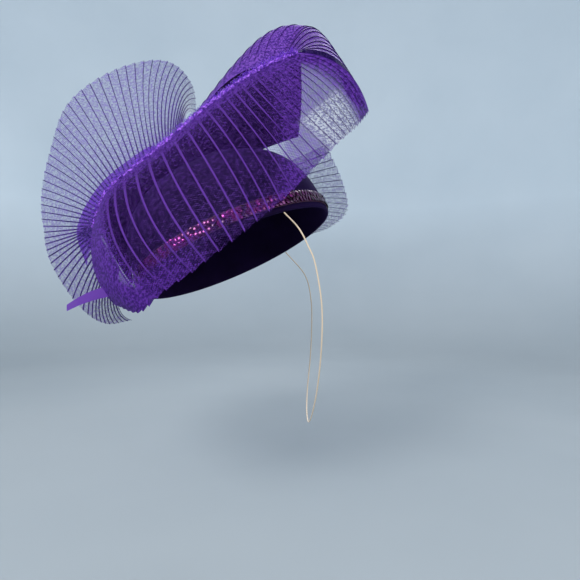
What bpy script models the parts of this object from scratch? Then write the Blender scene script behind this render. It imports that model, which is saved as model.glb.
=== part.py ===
"""Church hat: a felt crown with a swept felt trough, ruffles of pleated crinoline,
a sequin band round the rim and a thin elastic loop.  Metres, +Z up, as it is worn."""
import math

import bmesh
import bpy
import numpy as np
from mathutils import Matrix, Vector

# Felt crown, measured over its outside with the rim level
CROWN_LENGTH = 0.193
CROWN_WIDTH = 0.154
CROWN_DEPTH = 0.092
CROWN_FULLNESS = 2.85
FELT_WALL = 0.0025
CROWN_SIDES = 40

# Tilt of the hat on the head: the right end and the near side are raised
SIDE_TILT = math.radians(25)
NEAR_TILT = math.radians(10)

# Felt sweep, a trough that runs along the crown and overhangs its right end
SWEEP_LENGTH = 0.240
SWEEP_WIDTH = 0.065
SWEEP_RISE = 0.093

# Pleated crinoline
CRIN_WIDTH = 0.145
CRIN_WALL = 0.0010
PLEAT_DEPTH = 0.0016
ROLL_RADIUS = 0.0042

# Sequin band
BAND_WIDTH = 0.0115
BAND_WALL = 0.0012
BAND_LIFT = 0.0045

# Elastic
ELASTIC_DIAMETER = 0.0012
ELASTIC_AT = 0.52

# Where sheets start and stop along the sweep, as shares of its run from the tail
FAN_STOP = 0.42
TIP_STOP = 0.48
FRILL_START = 0.03
FRILL_STOP = 0.37

# Share of a seam that lies off the sweep's far edge: round the tail, or across the open end
FAN_TURN = 0.78
TIP_TURN = 0.35

# Clearances between touching pieces
GAP = 0.0003
DRAPE_GAP = 0.0006

# Felt sweep: where its near edge, keel and far edge run, from the tail to the open end.
# Lengths along are shares of SWEEP_LENGTH from the crown's middle, lengths across are
# shares of SWEEP_WIDTH, and heights are shares of SWEEP_RISE above the crown's top.
SWEEP_COLUMNS = ("near_along", "near_across", "near_up",
                 "keel_along", "keel_across", "keel_up",
                 "far_along", "far_across", "far_up")
SWEEP_ROWS = (
    (-0.460, -0.05, -0.15, -0.425, 0.00, -0.80, -0.460, 0.08, -0.06),
    (-0.360, -0.14, 0.10, -0.370, 0.00, -0.36, -0.340, 0.12, 0.25),
    (-0.200, -0.34, 0.16, -0.220, 0.00, -0.06, -0.150, 0.18, 0.48),
    (-0.050, -0.45, 0.23, -0.080, 0.00, 0.00, 0.020, 0.24, 0.64),
    (0.090, -0.52, 0.33, 0.060, 0.00, 0.00, 0.125, 0.26, 0.80),
    (0.235, -0.59, 0.41, 0.190, 0.00, 0.00, 0.280, 0.25, 0.98),
    (0.380, -0.65, 0.46, 0.310, -0.05, -0.03, 0.410, 0.22, 1.00),
    (0.535, -0.69, 0.45, 0.430, -0.10, -0.07, 0.530, 0.22, 0.86),
)

# Crinoline sheets: each row gives where a pleat starts along its seam, then its middle and
# its free end, along, across and up from that start, as shares of CRIN_WIDTH.
SHEET_COLUMNS = ("seam", "mid_along", "mid_across", "mid_up",
                 "end_along", "end_across", "end_up")
FRONT_ROWS = (
    (0.00, -0.06, -0.10, -0.32, -0.01, -0.12, -0.58),
    (0.10, -0.03, -0.26, -0.45, 0.08, -0.38, -0.88),
    (0.22, 0.00, -0.32, -0.50, 0.12, -0.44, -0.92),
    (0.38, 0.03, -0.33, -0.50, 0.09, -0.43, -0.92),
    (0.54, 0.04, -0.30, -0.51, 0.05, -0.42, -0.94),
    (0.66, 0.05, -0.26, -0.52, 0.06, -0.38, -0.92),
    (0.76, 0.06, -0.21, -0.49, 0.12, -0.30, -0.84),
    (0.85, 0.08, -0.16, -0.44, 0.16, -0.22, -0.76),
    (0.93, 0.12, -0.11, -0.37, 0.17, -0.12, -0.68),
    (1.00, 0.18, -0.07, -0.26, 0.20, -0.04, -0.58),
)
TIP_ROWS = (
    (0.00, 0.20, -0.04, -0.20, 0.22, 0.00, -0.55),
    (0.10, 0.30, 0.03, 0.00, 0.28, 0.07, -0.48),
    (0.22, 0.38, 0.10, 0.20, 0.37, 0.18, -0.34),
    (0.40, 0.38, 0.15, 0.35, 0.54, 0.36, -0.02),
    (0.55, 0.33, 0.21, 0.37, 0.60, 0.54, 0.24),
    (0.70, 0.24, 0.29, 0.34, 0.50, 0.69, 0.42),
    (0.85, 0.16, 0.33, 0.29, 0.37, 0.76, 0.45),
    (1.00, 0.11, 0.35, 0.26, 0.27, 0.79, 0.42),
)
FAN_ROWS = (
    (0.00, 0.10, 0.35, 0.34, 0.17, 0.74, 0.52),
    (0.08, 0.15, 0.20, 0.39, 0.31, 0.42, 0.64),
    (0.18, 0.11, 0.10, 0.43, 0.30, 0.20, 0.78),
    (0.32, 0.04, 0.08, 0.43, 0.10, 0.11, 0.86),
    (0.46, -0.06, 0.08, 0.41, -0.14, 0.12, 0.84),
    (0.60, -0.12, 0.06, 0.32, -0.27, 0.13, 0.64),
    (0.72, -0.17, 0.06, 0.20, -0.38, 0.15, 0.42),
    (0.80, -0.20, 0.07, 0.08, -0.41, 0.16, 0.18),
    (0.86, -0.22, 0.09, -0.03, -0.41, 0.18, -0.06),
    (0.91, -0.22, 0.11, -0.13, -0.37, 0.20, -0.26),
    (0.96, -0.20, 0.13, -0.16, -0.28, 0.24, -0.32),
    (1.00, -0.15, 0.18, -0.18, -0.14, 0.32, -0.28),
)
FRILL_ROWS = (
    (0.00, -0.28, 0.22, -0.05, -0.42, 0.50, -0.08),
    (0.30, -0.33, 0.26, 0.10, -0.54, 0.56, 0.18),
    (0.60, -0.28, 0.32, 0.24, -0.46, 0.62, 0.40),
    (0.85, -0.18, 0.40, 0.29, -0.32, 0.70, 0.50),
    (1.00, -0.12, 0.44, 0.30, -0.24, 0.72, 0.52),
)
BACK_ROWS = (
    (0.00, 0.42, 0.26, 0.12, 0.85, 0.28, 0.14),
    (0.25, 0.46, 0.20, 0.02, 0.86, 0.18, -0.10),
    (0.50, 0.44, 0.14, -0.04, 0.80, 0.06, -0.26),
    (0.75, 0.36, 0.12, -0.04, 0.62, -0.06, -0.24),
    (1.00, 0.28, 0.10, -0.02, 0.46, -0.10, -0.12),
)
# Seam of the back sheet on the crown's far side: along and up as shares of the crown's
# half length and depth
BACK_SEAM = ((0.30, 0.90), (0.26, 0.76), (0.22, 0.60), (0.20, 0.42), (0.20, 0.24))

# Elastic's route below the rim, from the near side round to the far side, chosen by hand
ELASTIC_ROUTE = (
    (0.0946, -0.0902, -0.0637), (0.1022, -0.0942, -0.0786), (0.1076, -0.0962, -0.0930),
    (0.1125, -0.0972, -0.1247), (0.1125, -0.0942, -0.1574), (0.1102, -0.0822, -0.1907),
    (0.1070, -0.0672, -0.2153), (0.1050, -0.0422, -0.2309), (0.1045, -0.0122, -0.2360),
    (0.1050, 0.0178, -0.2309), (0.1070, 0.0428, -0.2153), (0.1102, 0.0578, -0.1907),
    (0.1125, 0.0698, -0.1574), (0.1120, 0.0728, -0.1247), (0.1050, 0.0718, -0.0960),
)


def clear_collection(name):
    """Empty scene with one collection named for the hat."""
    for old in list(bpy.data.objects):
        bpy.data.objects.remove(old)
    parts = bpy.data.collections.new(name)
    bpy.context.scene.collection.children.link(parts)
    return parts


def finish(name, colour, roughness, metallic=0.0):
    material = bpy.data.materials.new(name)
    material.use_nodes = True
    shader = material.node_tree.nodes["Principled BSDF"]
    shader.inputs["Base Color"].default_value = (*colour, 1)
    shader.inputs["Roughness"].default_value = roughness
    shader.inputs["Metallic"].default_value = metallic
    return material


def spline(rows, x):
    """Smooth curve through equally spaced rows, at x from 0 to 1."""
    rows = np.asarray(rows, float)
    place = min(max(x, 0.0), 1.0) * (len(rows) - 1)
    i = min(int(place), len(rows) - 2)
    t = place - i
    before = rows[i - 1] if i > 0 else 2 * rows[0] - rows[1]
    after = rows[i + 2] if i + 2 < len(rows) else 2 * rows[-1] - rows[-2]
    a, b = rows[i], rows[i + 1]
    return 0.5 * (2 * a + (b - before) * t + (2 * before - 5 * a + 4 * b - after) * t ** 2
                  + (3 * a - 3 * b + after - before) * t ** 3)


def clear_of_crown(point, clearance):
    """Moves a point that is too close to the crown straight out from its middle."""
    u, v, w = point
    flat = math.hypot(u / (CROWN_LENGTH / 2 + clearance), v / (CROWN_WIDTH / 2 + clearance))
    tall = max(w, 0.0) / (CROWN_DEPTH + clearance)
    depth = (flat ** CROWN_FULLNESS + tall ** CROWN_FULLNESS) ** (1 / CROWN_FULLNESS)
    if depth >= 1:
        return np.array(point)
    return np.array((u / depth, v / depth, w / depth if w > 0 else w))


def crown_surface(angle, height, offset=0.0):
    """Point on the crown's outside at an angle round it and a height over the rim."""
    share = min(height / CROWN_DEPTH, 1.0)
    reach = (1 - share ** CROWN_FULLNESS) ** (1 / CROWN_FULLNESS)
    return np.array(((CROWN_LENGTH / 2 * reach + offset) * math.cos(angle),
                     (CROWN_WIDTH / 2 * reach + offset) * math.sin(angle), height))


def sweep_edges(x):
    """Near edge, keel and far edge of the sweep, at x from its tail to its open end."""
    row = dict(zip(SWEEP_COLUMNS, spline(SWEEP_ROWS, x)))
    size = np.array((SWEEP_LENGTH, SWEEP_WIDTH, SWEEP_RISE))
    top = np.array((0, 0, CROWN_DEPTH))
    edges = []
    for edge in ("near", "keel", "far"):
        shares = np.array([row[edge + side] for side in ("_along", "_across", "_up")])
        edges.append(clear_of_crown(top + size * shares, FELT_WALL / 2 + DRAPE_GAP))
    return edges


def seam_frame(edge, x):
    """Point on one edge of the sweep, with the directions out of the trough and over it."""
    here = sweep_edges(x)[edge]
    step = 0.01
    tangent = sweep_edges(min(x + step, 1))[edge] - sweep_edges(max(x - step, 0))[edge]
    side = np.array((tangent[1], -tangent[0], 0.0))
    side /= np.linalg.norm(side)
    over = np.cross(side, tangent)
    over /= np.linalg.norm(over)
    if edge == 2:
        side = -side
    return here, side, over


def front_seam(x):
    """Along the near side of the gathered roll, from the tail to the tip."""
    here, out, over = seam_frame(0, x)
    return here + over * ROLL_RADIUS + out * (ROLL_RADIUS + GAP + CRIN_WALL / 2)


def tip_seam(x):
    """Across the open end from its near corner, then back along the far wall's top."""
    if x < TIP_TURN:
        near, _, over = seam_frame(0, 1.0)
        start = near + over * (2 * ROLL_RADIUS + 2 * GAP + CRIN_WALL / 2)
        far, out, over = seam_frame(2, 1.0)
        top = far + over * DRAPE_GAP
        above = top + (over - 2 * out) * FELT_WALL
        return spline((start, (start + top) / 2, above, top), x / TIP_TURN)
    back = (x - TIP_TURN) / (1 - TIP_TURN)
    here, _, over = seam_frame(2, 1.0 + (TIP_STOP - 1.0) * back)
    return here + over * DRAPE_GAP


def fan_seam(x):
    """Along the top of the far wall to the tail, then down the outside of the tail."""
    if x < FAN_TURN:
        here, _, over = seam_frame(2, FAN_STOP * (1 - x / FAN_TURN))
        return here + over * DRAPE_GAP
    near, keel, far = sweep_edges(0.0)
    down = (x - FAN_TURN) / (1 - FAN_TURN)
    clear = np.array((-FELT_WALL / 2 - GAP - CRIN_WALL, 0, 0))
    return spline((far + (0, 0, GAP), near * 0.5 + far * 0.5 + 2 * clear,
                   near * 0.3 + far * 0.3 + keel * 0.4 + clear,
                   near * 0.15 + far * 0.15 + keel * 0.7 + clear), down)


def frill_seam(x):
    """Along the outside of the far wall, from the tail, a little below its top."""
    here, out, over = seam_frame(2, FRILL_START + (FRILL_STOP - FRILL_START) * x)
    return here - over * 3 * FELT_WALL + out * (FELT_WALL / 2 + GAP + CRIN_WALL / 2)


def back_seam(x):
    """Down the crown's far side."""
    along, up = spline(BACK_SEAM, x)
    height = up * CROWN_DEPTH
    reach = (1 - up ** CROWN_FULLNESS) ** (1 / CROWN_FULLNESS)
    across = CROWN_WIDTH / 2 * math.sqrt(max(reach ** 2 - along ** 2, 0))
    return clear_of_crown((along * CROWN_LENGTH / 2, across, height),
                          DRAPE_GAP + CRIN_WALL / 2)


def sheet_point(seam, rows, x, y):
    """Point of a flat sheet: x along its seam, y from the seam to the free end."""
    row = dict(zip(SHEET_COLUMNS, spline(rows, x)))
    start = seam(row["seam"])
    mid = start + CRIN_WIDTH * np.array((row["mid_along"], row["mid_across"], row["mid_up"]))
    end = start + CRIN_WIDTH * np.array((row["end_along"], row["end_across"], row["end_up"]))
    pull = 2 * mid - (start + end) / 2
    return (1 - y) ** 2 * start + 2 * y * (1 - y) * pull + y ** 2 * end


def pleated_point(seam, rows, pleats, x, y):
    """Point of the sheet with its pleats, which open out from the seam."""
    step = 0.004
    along = (sheet_point(seam, rows, min(x + step, 1), y)
             - sheet_point(seam, rows, max(x - step, 0), y))
    across = sheet_point(seam, rows, x, min(y + step, 1)) - sheet_point(seam, rows, x, y - step)
    face = np.cross(along, across)
    face /= np.linalg.norm(face)
    fold = 1 if round(x * 2 * pleats) % 2 else -1
    return sheet_point(seam, rows, x, y) + face * fold * PLEAT_DEPTH / 2 * min(1, 3 * y)


def mapped_grid(name, columns, rows, place, wall):
    """Closed sheet: a grid whose points are placed by a function, with a thickness."""
    mesh = bpy.data.meshes.new(name)
    bm = bmesh.new()
    bmesh.ops.create_grid(bm, x_segments=columns, y_segments=rows, size=1)
    for vertex in bm.verts:
        x, y = (vertex.co.x + 1) / 2, (vertex.co.y + 1) / 2
        vertex.co = place(x, y)
    bm.to_mesh(mesh)
    bm.free()
    return thickened(name, mesh, wall, 0)


def thickened(name, mesh, wall, offset):
    piece = bpy.data.objects.new(name, mesh)
    solid = piece.modifiers.new("wall", "SOLIDIFY")
    solid.thickness = wall
    solid.offset = offset
    mesh.shade_smooth()
    mesh.set_sharp_from_angle(angle=math.radians(40))
    return piece


def build_crown():
    """Hollow dome, open below: the top half of a ball, squared to the crown's profile."""
    mesh = bpy.data.meshes.new("felt_crown")
    bm = bmesh.new()
    bmesh.ops.create_uvsphere(bm, u_segments=CROWN_SIDES, v_segments=20, radius=1)
    below = [v for v in bm.verts if v.co.z < -0.01]
    bmesh.ops.delete(bm, geom=below, context="VERTS")
    for vertex in bm.verts:
        up = max(vertex.co.z, 0.0)
        flat = math.hypot(vertex.co.x, vertex.co.y)
        angle = math.atan2(vertex.co.y, vertex.co.x)
        reach = flat ** (2 / CROWN_FULLNESS)
        vertex.co = (CROWN_LENGTH / 2 * reach * math.cos(angle),
                     CROWN_WIDTH / 2 * reach * math.sin(angle),
                     CROWN_DEPTH * up ** (2 / CROWN_FULLNESS))
    bm.to_mesh(mesh)
    bm.free()
    return thickened("felt_crown", mesh, FELT_WALL, -1)


def build_sweep():
    """Trough of felt: a round section hung between its near edge, keel and far edge."""
    def place(x, y):
        near, keel, far = sweep_edges(x)
        edge = near if y < 0.5 else far
        turn = abs(2 * y - 1) * math.pi / 2
        across, rise = math.sin(turn), 1 - math.cos(turn)
        share = np.array((0.25 * across + 0.75 * rise, across, rise))
        return clear_of_crown(keel + (edge - keel) * share, FELT_WALL / 2 + DRAPE_GAP)
    return mapped_grid("felt_sweep", 22, 14, place, FELT_WALL)


def build_sheet(name, seam, rows, pleats, lengths):
    """One pleated sheet, kept clear of the crown and, away from its seam, of the band."""
    def place(x, y):
        over_band = (BAND_WALL + GAP) * min(1, 4 * y)
        clearance = DRAPE_GAP + CRIN_WALL / 2 + over_band
        return clear_of_crown(pleated_point(seam, rows, pleats, x, y), clearance)
    return mapped_grid(name, 2 * pleats, lengths, place, CRIN_WALL)


def build_tube(name, points, radius, swell=None):
    """Round tube through the points, with closed ends."""
    curve = bpy.data.curves.new(name, "CURVE")
    curve.dimensions = "3D"
    curve.bevel_depth = radius
    curve.bevel_resolution = 2
    curve.use_fill_caps = True
    line = curve.splines.new("POLY")
    line.points.add(len(points) - 1)
    for i, point in enumerate(points):
        line.points[i].co = (*point, 1)
        line.points[i].radius = swell[i] if swell else 1
    return bpy.data.objects.new(name, curve)


def build_roll():
    """Gathered pleats bunched into a roll on top of the sweep's near edge."""
    count = 34
    points, swell = [], []
    for i in range(count + 1):
        here, _, over = seam_frame(0, i / count)
        points.append(here + over * (ROLL_RADIUS + GAP))
        swell.append(0.75 + 0.25 * math.sin(math.pi * min(1, 2 * i / count) / 2))
    return build_tube("crin_roll", points, ROLL_RADIUS, swell)


def build_band():
    """Ring round the crown, just above its rim."""
    mesh = bpy.data.meshes.new("sequin_band")
    bm = bmesh.new()
    bmesh.ops.create_cone(bm, cap_ends=False, segments=CROWN_SIDES, radius1=1, radius2=1, depth=2)
    for vertex in bm.verts:
        angle = math.atan2(vertex.co.y, vertex.co.x)
        height = BAND_LIFT + BAND_WIDTH * (vertex.co.z + 1) / 2
        vertex.co = crown_surface(angle, height, GAP)
    bm.to_mesh(mesh)
    bm.free()
    return thickened("sequin_band", mesh, BAND_WALL, 1)


def build_elastic(worn):
    """Loop that hangs from the rim's two sides, read from a smooth curve."""
    ends = []
    for side in (-1, 1):
        along = ELASTIC_AT * (CROWN_LENGTH / 2 - FELT_WALL / 2)
        across = side * (CROWN_WIDTH / 2 - FELT_WALL / 2) * math.sqrt(1 - ELASTIC_AT ** 2)
        ends.append(tuple(worn @ Vector((along, across, -GAP - ELASTIC_DIAMETER / 2))))
    route = (ends[0], *ELASTIC_ROUTE, ends[1])
    count = 78
    return build_tube("elastic", [spline(route, i / count) for i in range(count + 1)],
                      ELASTIC_DIAMETER / 2)


def build_hat():
    parts = clear_collection("church_hat")
    felt = finish("felt", (0.020, 0.008, 0.060), 0.90)
    felt_sweep = finish("sweep_felt", (0.022, 0.009, 0.068), 0.90)
    crin = finish("crinoline", (0.150, 0.035, 0.520), 0.45)
    crin_back = finish("crinoline_net", (0.260, 0.140, 0.560), 0.45)
    gather = finish("gathered_crinoline", (0.220, 0.050, 0.720), 0.50)
    sequins = finish("sequins", (0.420, 0.010, 0.300), 0.25, 0.8)
    cord = finish("elastic_cord", (0.800, 0.600, 0.400), 0.70)

    seat = Vector((0, 0, CROWN_DEPTH - FELT_WALL))
    turn = Matrix.Rotation(-NEAR_TILT, 4, "X") @ Matrix.Rotation(-SIDE_TILT, 4, "Y")
    worn = turn @ Matrix.Translation(-seat)
    holder = bpy.data.objects.new("hat_as_worn", None)
    holder.matrix_world = worn
    parts.objects.link(holder)

    on_head = (
        (build_crown(), felt),
        (build_sweep(), felt_sweep),
        (build_roll(), gather),
        (build_sheet("crin_front", front_seam, FRONT_ROWS, 22, 7), crin),
        (build_sheet("crin_tip", tip_seam, TIP_ROWS, 16, 7), crin),
        (build_sheet("crin_fan", fan_seam, FAN_ROWS, 50, 5), crin_back),
        (build_sheet("crin_frill", frill_seam, FRILL_ROWS, 14, 6), crin),
        (build_sheet("crin_back", back_seam, BACK_ROWS, 18, 6), crin_back),
        (build_band(), sequins),
    )
    for piece, material in on_head:
        piece.data.materials.append(material)
        piece.parent = holder
        parts.objects.link(piece)
    elastic = build_elastic(worn)
    elastic.data.materials.append(cord)
    parts.objects.link(elastic)


build_hat()
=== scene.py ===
import math
import random

import bpy
import numpy as np
from mathutils import Matrix, Vector


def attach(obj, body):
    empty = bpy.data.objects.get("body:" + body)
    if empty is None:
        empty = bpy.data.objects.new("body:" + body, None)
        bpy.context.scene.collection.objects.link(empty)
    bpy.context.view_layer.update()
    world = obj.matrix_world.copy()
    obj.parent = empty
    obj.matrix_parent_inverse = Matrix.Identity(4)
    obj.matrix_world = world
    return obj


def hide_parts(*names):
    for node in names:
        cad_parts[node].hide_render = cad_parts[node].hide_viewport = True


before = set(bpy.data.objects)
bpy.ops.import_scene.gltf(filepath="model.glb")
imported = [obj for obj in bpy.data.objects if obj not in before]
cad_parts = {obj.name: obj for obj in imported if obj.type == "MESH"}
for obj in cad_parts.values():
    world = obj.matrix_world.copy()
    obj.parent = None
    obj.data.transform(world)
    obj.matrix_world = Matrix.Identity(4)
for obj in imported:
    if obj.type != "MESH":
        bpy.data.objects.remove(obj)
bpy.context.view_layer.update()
scene = bpy.context.scene
scene.view_settings.view_transform = "Standard"
scene.cycles.transparent_max_bounces = 48


# Camera
# It stands level before the hat's near side, a little lower than the rim, and looks
# straight along +Y.
bpy.ops.object.camera_add(location=(0.0878, -0.4549, -0.1129), rotation=(math.pi / 2, 0, 0))
camera = bpy.context.object
camera.data.sensor_width = 36.0
camera.data.lens = 28.55
camera.data.clip_start = 0.02
scene.camera = camera


# Elastic
# One thin covered elastic runs from the near side of the rim under the chin and back up
# to the far side. Its two ends meet the cut edge of the felt, where they are sewn on.
CROWN_LENGTH = 0.193
CROWN_WIDTH = 0.154
CROWN_DEPTH = 0.092
CROWN_FULLNESS = 2.85
FELT_WALL = 0.0025
ELASTIC_DIAMETER = 0.0012
ELASTIC_AT = 0.52
ELASTIC_STEPS = 156
ELASTIC_ROUTE = (
    (0.0946, -0.0902, -0.0637), (0.1022, -0.0942, -0.0786), (0.1076, -0.0962, -0.0930),
    (0.1125, -0.0972, -0.1247), (0.1125, -0.0942, -0.1574), (0.1102, -0.0822, -0.1907),
    (0.1070, -0.0672, -0.2153), (0.1050, -0.0422, -0.2309), (0.1045, -0.0122, -0.2360),
    (0.1050, 0.0178, -0.2309), (0.1070, 0.0428, -0.2153), (0.1102, 0.0578, -0.1907),
    (0.1125, 0.0698, -0.1574), (0.1120, 0.0728, -0.1247), (0.1050, 0.0718, -0.0960),
)
worn = (Matrix.Rotation(math.radians(-10), 4, "X") @ Matrix.Rotation(math.radians(-25), 4, "Y")
        @ Matrix.Translation((0, 0, FELT_WALL - CROWN_DEPTH)))


def spline(rows, x):
    """Smooth curve through equally spaced rows, at x from 0 to 1."""
    rows = np.asarray(rows, float)
    place = min(max(x, 0.0), 1.0) * (len(rows) - 1)
    i = min(int(place), len(rows) - 2)
    t = place - i
    before = rows[i - 1] if i > 0 else 2 * rows[0] - rows[1]
    after = rows[i + 2] if i + 2 < len(rows) else 2 * rows[-1] - rows[-2]
    a, b = rows[i], rows[i + 1]
    return 0.5 * (2 * a + (b - before) * t + (2 * before - 5 * a + 4 * b - after) * t ** 2
                  + (3 * a - 3 * b + after - before) * t ** 3)


def new_material(name, colour, roughness):
    material = bpy.data.materials.new(name)
    material.use_nodes = True
    nodes = material.node_tree.nodes
    shader = nodes["Principled BSDF"]
    shader.inputs["Base Color"].default_value = (*colour, 1)
    shader.inputs["Roughness"].default_value = roughness
    return material, nodes, material.node_tree.links, shader


def two_tone(nodes, links, shader, texture, low, high):
    """Colours a piece between two shades, by a texture laid on its own coordinates."""
    where = nodes.new("ShaderNodeTexCoord")
    shades = nodes.new("ShaderNodeValToRGB")
    shades.color_ramp.elements[0].color = (*low, 1)
    shades.color_ramp.elements[1].color = (*high, 1)
    links.new(where.outputs["Object"], texture.inputs["Vector"])
    links.new(texture.outputs["Fac"], shades.inputs["Fac"])
    links.new(shades.outputs["Color"], shader.inputs["Base Color"])


elastic_ends = []
for side in (-1, 1):
    along = ELASTIC_AT * (CROWN_LENGTH / 2 - FELT_WALL / 2)
    across = side * (CROWN_WIDTH / 2 - FELT_WALL / 2) * math.sqrt(1 - ELASTIC_AT ** 2)
    elastic_ends.append(tuple(worn @ Vector((along, across, -0.0003 - ELASTIC_DIAMETER / 2))))
route = (elastic_ends[0], *ELASTIC_ROUTE, elastic_ends[1])
bpy.ops.object.select_all(action="DESELECT")
cord_curve = bpy.data.curves.new("elastic_cord", "CURVE")
cord_curve.dimensions = "3D"
cord_curve.bevel_depth = ELASTIC_DIAMETER / 2
cord_curve.bevel_resolution = 3
cord_curve.use_fill_caps = True
cord_line = cord_curve.splines.new("POLY")
cord_line.points.add(ELASTIC_STEPS)
for i in range(ELASTIC_STEPS + 1):
    cord_line.points[i].co = (*spline(route, i / ELASTIC_STEPS), 1)
elastic = bpy.data.objects.new("elastic_cord", cord_curve)
scene.collection.objects.link(elastic)

cream, nodes, links, shader = new_material("elastic_cream", (0.80, 0.62, 0.44), 0.62)
shader.inputs["Sheen Weight"].default_value = 0.35
ribs = nodes.new("ShaderNodeTexWave")
ribs.wave_type = "BANDS"
ribs.bands_direction = "Z"
ribs.inputs["Scale"].default_value = 420
ribs.inputs["Distortion"].default_value = 2.5
two_tone(nodes, links, shader, ribs, (0.62, 0.44, 0.28), (0.88, 0.72, 0.54))
raised = nodes.new("ShaderNodeBump")
raised.inputs["Strength"].default_value = 0.5
raised.inputs["Distance"].default_value = 0.0002
links.new(ribs.outputs["Fac"], raised.inputs["Height"])
links.new(raised.outputs["Normal"], shader.inputs["Normal"])
cord_curve.materials.append(cream)
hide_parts("elastic")
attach(elastic, "root")


# Felt crown
# A dome of dark purple wool felt, 2.5 mm thick, steamed over a block and cut off level
# at the rim. Its nap is short, with a faint bloom where the light catches it.
def crown_surface(angle, height, offset=0.0):
    """Point on the crown's outside at an angle round it and a height over the rim."""
    share = min(height / CROWN_DEPTH, 1.0)
    reach = (1 - share ** CROWN_FULLNESS) ** (1 / CROWN_FULLNESS)
    return np.array(((CROWN_LENGTH / 2 * reach + offset) * math.cos(angle),
                     (CROWN_WIDTH / 2 * reach + offset) * math.sin(angle), height))


def math_node(nodes, links, operation, *given):
    """Output of a Math node. Each given value is a number, or the socket that feeds it."""
    node = nodes.new("ShaderNodeMath")
    node.operation = operation
    for socket, value in zip(node.inputs, given):
        if isinstance(value, float):
            socket.default_value = value
        else:
            links.new(value, socket)
    return node.outputs[0]


def map_range(nodes, links, value, start, stop, low=0.0, high=1.0):
    """Output of a Map Range node that takes start to stop onto low to high."""
    node = nodes.new("ShaderNodeMapRange")
    node.inputs["From Min"].default_value = start
    node.inputs["From Max"].default_value = stop
    node.inputs["To Min"].default_value = low
    node.inputs["To Max"].default_value = high
    links.new(value, node.inputs["Value"])
    return node.outputs["Result"]


def felt_nap_group():
    """Node group: felt colour between two shades, and the height of its nap."""
    group = bpy.data.node_groups.new("felt_nap", "ShaderNodeTree")
    face = group.interface
    face.new_socket("Deep", in_out="INPUT", socket_type="NodeSocketColor")
    face.new_socket("Bloom", in_out="INPUT", socket_type="NodeSocketColor")
    face.new_socket("Nap Scale", in_out="INPUT", socket_type="NodeSocketFloat")
    face.new_socket("Color", in_out="OUTPUT", socket_type="NodeSocketColor")
    face.new_socket("Height", in_out="OUTPUT", socket_type="NodeSocketFloat")
    nodes, links = group.nodes, group.links
    given = nodes.new("NodeGroupInput")
    made = nodes.new("NodeGroupOutput")
    where = nodes.new("ShaderNodeTexCoord")
    fibre = nodes.new("ShaderNodeTexNoise")
    fibre.inputs["Detail"].default_value = 6
    fibre.inputs["Roughness"].default_value = 0.7
    fibre.inputs["Distortion"].default_value = 1.2
    cloudy = nodes.new("ShaderNodeTexNoise")
    cloudy.inputs["Scale"].default_value = 34
    cloudy.inputs["Detail"].default_value = 3
    shift = math_node(nodes, links, "MULTIPLY", cloudy.outputs["Fac"], 0.45)
    both = math_node(nodes, links, "MULTIPLY_ADD", fibre.outputs["Fac"], 0.55, shift)
    spread = map_range(nodes, links, both, 0.35, 0.68)
    mix = nodes.new("ShaderNodeMix")
    mix.data_type = "RGBA"
    links.new(where.outputs["Object"], fibre.inputs["Vector"])
    links.new(where.outputs["Object"], cloudy.inputs["Vector"])
    links.new(given.outputs["Nap Scale"], fibre.inputs["Scale"])
    links.new(spread, mix.inputs["Factor"])
    links.new(given.outputs["Deep"], mix.inputs["A"])
    links.new(given.outputs["Bloom"], mix.inputs["B"])
    links.new(mix.outputs["Result"], made.inputs["Color"])
    links.new(fibre.outputs["Fac"], made.inputs["Height"])
    return group


felt_nap = felt_nap_group()


def felt_material(name, deep, bloom, nap_scale):
    material, nodes, links, shader = new_material(name, deep, 0.92)
    shader.inputs["Sheen Weight"].default_value = 0.10
    shader.inputs["Sheen Roughness"].default_value = 0.5
    shader.inputs["Sheen Tint"].default_value = (0.22, 0.08, 0.80, 1)
    shader.inputs["Specular IOR Level"].default_value = 0.08
    nap = nodes.new("ShaderNodeGroup")
    nap.node_tree = felt_nap
    nap.inputs["Deep"].default_value = (*deep, 1)
    nap.inputs["Bloom"].default_value = (*bloom, 1)
    nap.inputs["Nap Scale"].default_value = nap_scale
    raised = nodes.new("ShaderNodeBump")
    raised.inputs["Strength"].default_value = 0.6
    raised.inputs["Distance"].default_value = 0.0004
    links.new(nap.outputs["Color"], shader.inputs["Base Color"])
    links.new(nap.outputs["Height"], raised.inputs["Height"])
    links.new(raised.outputs["Normal"], shader.inputs["Normal"])
    return material


def apply_modifiers(piece):
    bpy.ops.object.select_all(action="DESELECT")
    bpy.context.view_layer.objects.active = piece
    piece.select_set(True)
    for modifier in list(piece.modifiers):
        bpy.ops.object.modifier_apply(modifier=modifier.name)


bpy.ops.object.select_all(action="DESELECT")
bpy.ops.mesh.primitive_uv_sphere_add(segments=96, ring_count=48, radius=1)
crown = bpy.context.object
crown.name = "crown_felt"
bpy.ops.object.mode_set(mode="EDIT")
bpy.ops.mesh.select_all(action="SELECT")
bpy.ops.mesh.bisect(plane_co=(0, 0, 0), plane_no=(0, 0, 1), clear_inner=True)
bpy.ops.object.mode_set(mode="OBJECT")
for vertex in crown.data.vertices:
    x, y, z = vertex.co
    angle = math.atan2(y, x)
    reach = math.hypot(x, y) ** (2 / CROWN_FULLNESS)
    vertex.co = worn @ Vector((CROWN_LENGTH / 2 * reach * math.cos(angle),
                               CROWN_WIDTH / 2 * reach * math.sin(angle),
                               CROWN_DEPTH * max(z, 0.0) ** (2 / CROWN_FULLNESS)))
wall = crown.modifiers.new("wall", "SOLIDIFY")
wall.thickness = FELT_WALL
wall.offset = -1
edge = crown.modifiers.new("soft_rim", "BEVEL")
edge.width = 0.0009
edge.segments = 3
edge.angle_limit = math.radians(50)
apply_modifiers(crown)
bpy.ops.object.shade_smooth_by_angle(angle=math.radians(60))
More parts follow.
